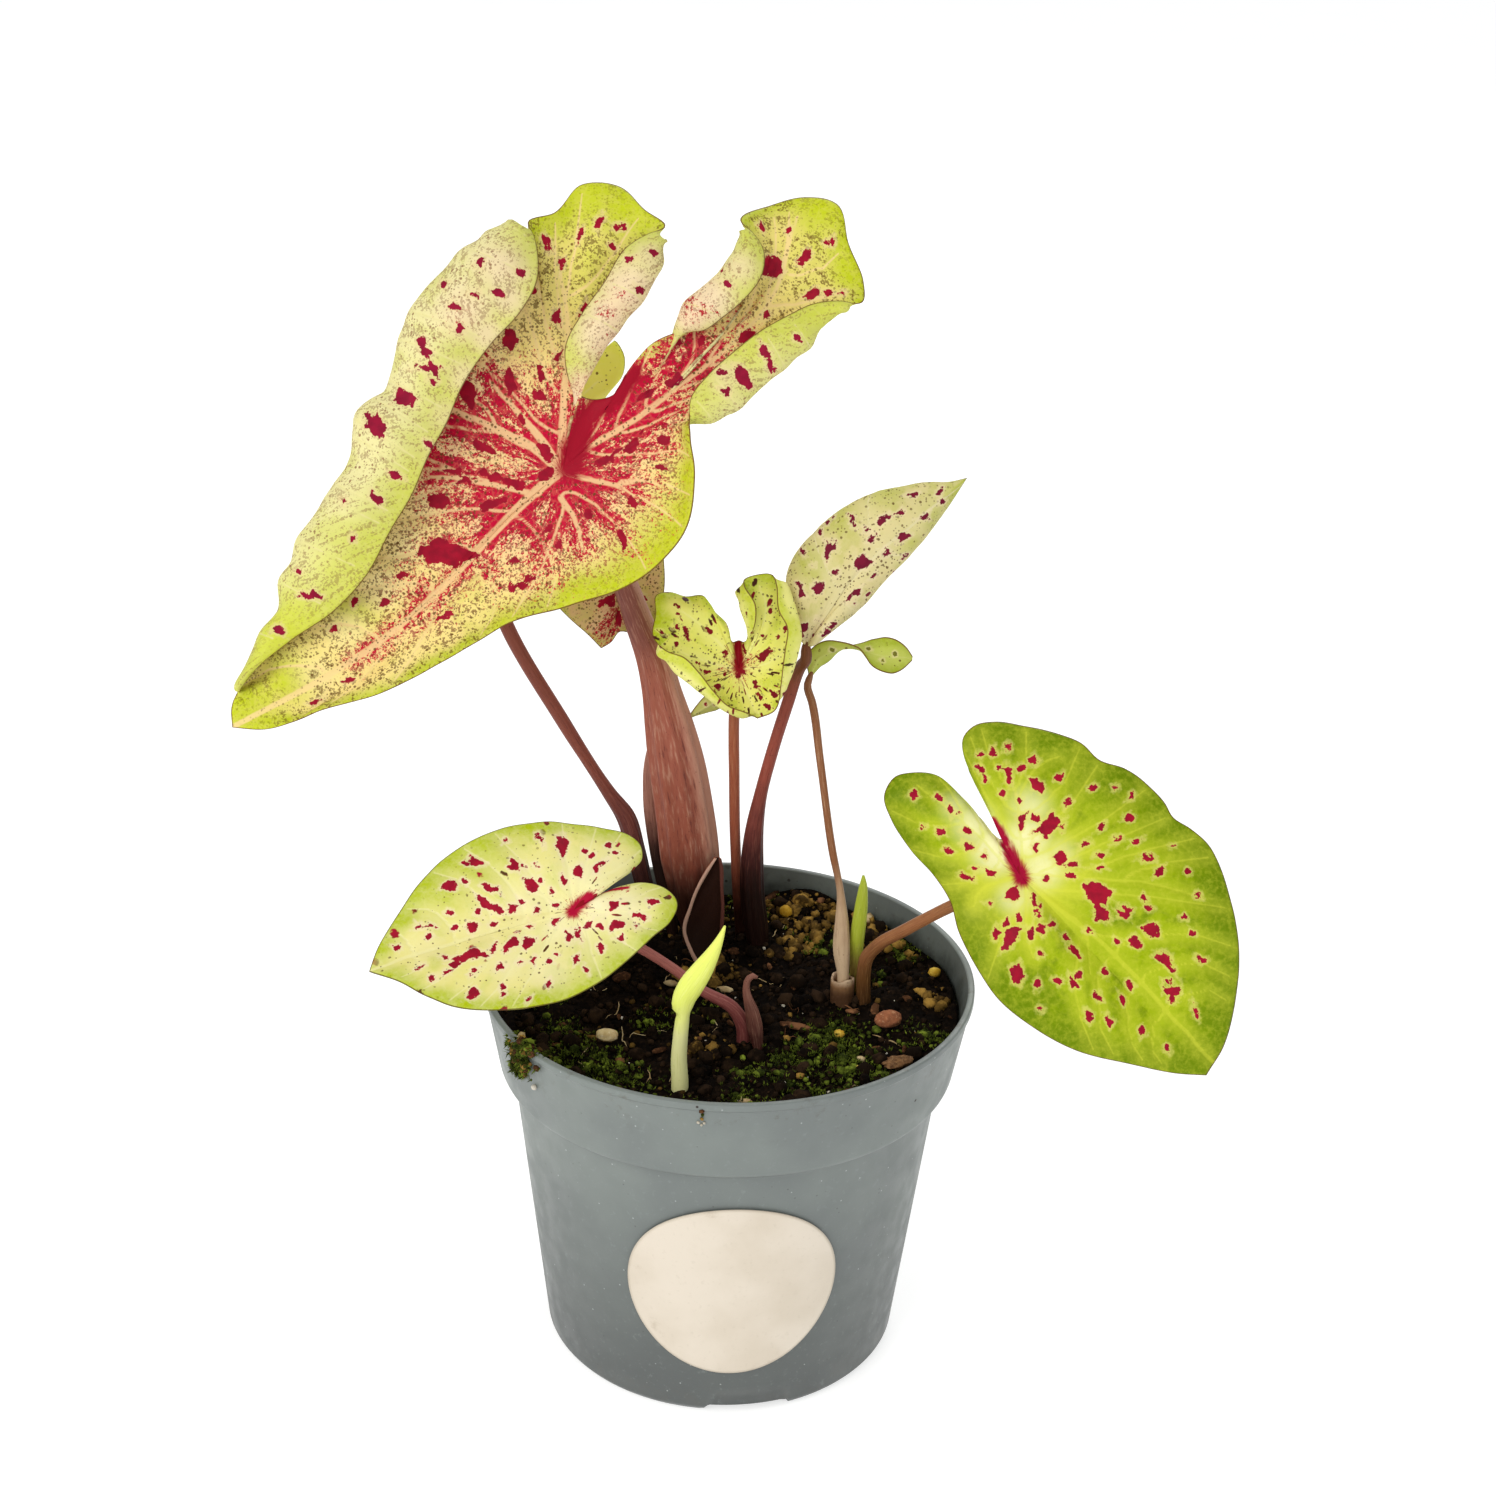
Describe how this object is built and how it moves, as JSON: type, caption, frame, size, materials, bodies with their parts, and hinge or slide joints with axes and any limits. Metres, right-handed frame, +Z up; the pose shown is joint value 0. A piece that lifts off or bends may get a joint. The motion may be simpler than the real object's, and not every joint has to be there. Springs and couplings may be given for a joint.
{
  "type": "potted caladium",
  "caption": "Young caladium with spotted heart-shaped leaves of several sizes on slender stems, growing in soil in a tapered round nursery pot with a blank round label.",
  "frame": {"origin": "on the ground under the axis of the round pot, which is also the middle of the bottom of the whole plant's box to within 2 mm", "axes": "+Z up; -Y is the front, the side of the pot that bears the label; +X is to the right as seen from the front"},
  "size_m": [0.2359, 0.1208, 0.2794],
  "materials": {
    "leaf_large": "satin",
    "leaf_yellow_green": "satin",
    "leaf_green": "satin",
    "leaf_back": "satin",
    "petiole_pink_brown": "satin",
    "petiole_maroon": "satin",
    "sheath_pale": "matte",
    "shoot_green": "satin",
    "shoot_pale": "satin",
    "tuber": "matte",
    "soil": "matte",
    "stone": "matte",
    "white_stone": "matte",
    "bark": "matte",
    "pot_plastic": "satin",
    "label_paper": "matte"
  },
  "bodies": {
    "root": {"blade_large": "leaf_large", "blade_right": "leaf_green", "blade_front": "leaf_yellow_green", "blade_back": "leaf_yellow_green", "blade_middle": "leaf_back", "blade_heart": "leaf_yellow_green", "blade_pointed": "leaf_back", "blade_curly": "leaf_green", "blade_little": "leaf_green", "petiole_large": "petiole_pink_brown", "petiole_back": "petiole_maroon", "petiole_middle": "petiole_pink_brown", "petiole_heart": "petiole_pink_brown", "petiole_pointed": "petiole_maroon", "petiole_curly": "petiole_pink_brown", "petiole_right": "petiole_pink_brown", "petiole_front": "petiole_pink_brown", "petiole_little": "petiole_pink_brown", "cataphyll_left": "petiole_pink_brown", "shoot_green": "shoot_green", "shoot_pale": "shoot_pale", "bract_small": "sheath_pale", "hood_front": "sheath_pale", "sheath_stump": "sheath_pale", "tuber_back": "tuber", "tuber_right": "tuber", "tuber_front": "tuber", "tuber_shoot": "tuber", "stone_brown": "stone", "pebble_white": "white_stone", "bark_chip": "bark", "soil": "soil", "pot": "pot_plastic", "label": "label_paper"}
  },
  "joints": []
}
